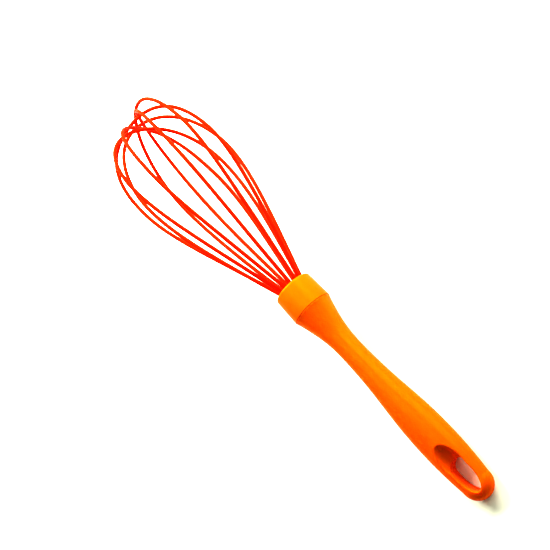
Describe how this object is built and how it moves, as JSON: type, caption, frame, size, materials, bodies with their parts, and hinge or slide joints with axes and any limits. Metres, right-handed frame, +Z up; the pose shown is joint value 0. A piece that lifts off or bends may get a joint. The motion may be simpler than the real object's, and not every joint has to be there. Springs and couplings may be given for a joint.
{
  "type": "balloon whisk",
  "caption": "Balloon whisk with rubber-sleeved wire loops, a round collar and a waisted oval grip with a slotted hanging end.",
  "frame": {"origin": "middle of the whisk's bounding box, on the table it lies on", "axes": "+X from the hanging end towards the tip of the balloon, +Z up from the table"},
  "size_m": [0.285, 0.0668, 0.0661],
  "materials": {
    "handle": "satin moulded orange nylon",
    "collar": "satin moulded orange nylon",
    "guide": "moulded orange plastic",
    "resin": "cast clear amber resin",
    "steel": "drawn spring steel wire",
    "silicone": "smooth satin red-orange silicone"
  },
  "bodies": {
    "root": {"handle": "handle", "collar": "collar", "wire_guide": "guide", "potting": "resin", "core_1": "steel", "core_2": "steel", "core_3": "steel", "core_4": "steel", "core_5": "steel", "core_6": "steel", "sleeve_1": "silicone", "sleeve_2": "silicone", "sleeve_3": "silicone", "sleeve_4": "silicone", "sleeve_5": "silicone", "sleeve_6": "silicone"}
  },
  "joints": []
}
